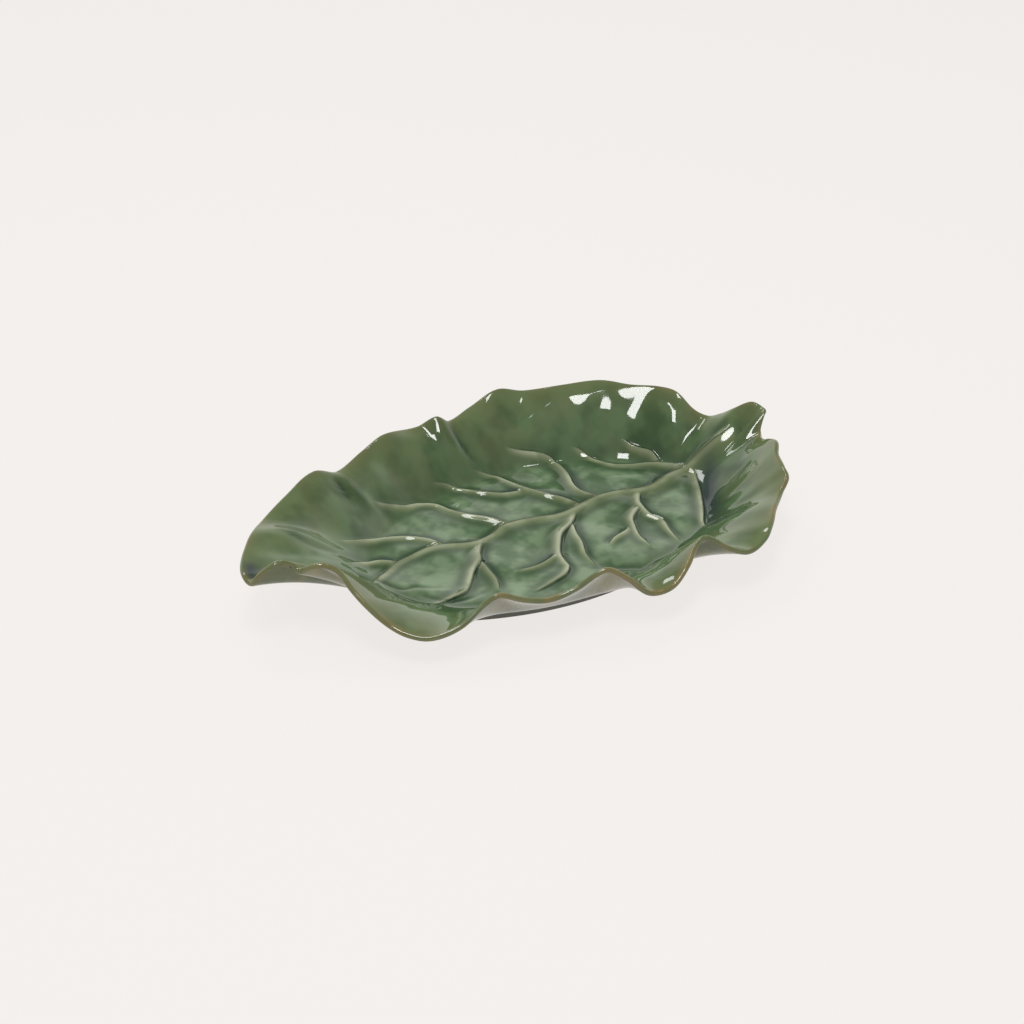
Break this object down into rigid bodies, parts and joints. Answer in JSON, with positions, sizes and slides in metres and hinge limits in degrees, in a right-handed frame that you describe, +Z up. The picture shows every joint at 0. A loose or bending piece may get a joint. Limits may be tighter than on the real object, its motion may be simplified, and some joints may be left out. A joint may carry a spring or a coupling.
{
  "type": "leaf shaped plate",
  "caption": "Shallow serving plate in the form of a cabbage leaf, with a ruffled rim, raised veins on its floor and an oval foot ring.",
  "frame": {"origin": "centre of the plate's footprint, on the surface that it stands on", "axes": "+X from the leaf's tip to its stalk, +Y across the leaf, +Z up"},
  "size_m": [0.3049, 0.188, 0.044],
  "materials": {
    "green_glaze": "glossy green glaze, darker where it pools",
    "vein_glaze": "glossy green glaze, thinned to tan on the crests",
    "foot_clay": "dark glaze with a wiped tread"
  },
  "bodies": {
    "root": {"leaf_blade": "green_glaze", "foot_ring": "foot_clay", "midrib": "vein_glaze", "far_vein_1": "vein_glaze", "far_vein_2": "vein_glaze", "far_vein_3": "vein_glaze", "far_vein_4": "vein_glaze", "far_vein_5": "vein_glaze", "near_vein_1": "vein_glaze", "near_vein_2": "vein_glaze", "near_vein_3": "vein_glaze", "near_vein_4": "vein_glaze", "far_fork_1": "vein_glaze", "far_fork_3": "vein_glaze", "near_fork_2": "vein_glaze", "near_fork_3": "vein_glaze", "near_spur_3": "vein_glaze", "near_fork_4": "vein_glaze", "near_spur_2": "vein_glaze", "tip_vein": "vein_glaze"}
  },
  "joints": []
}
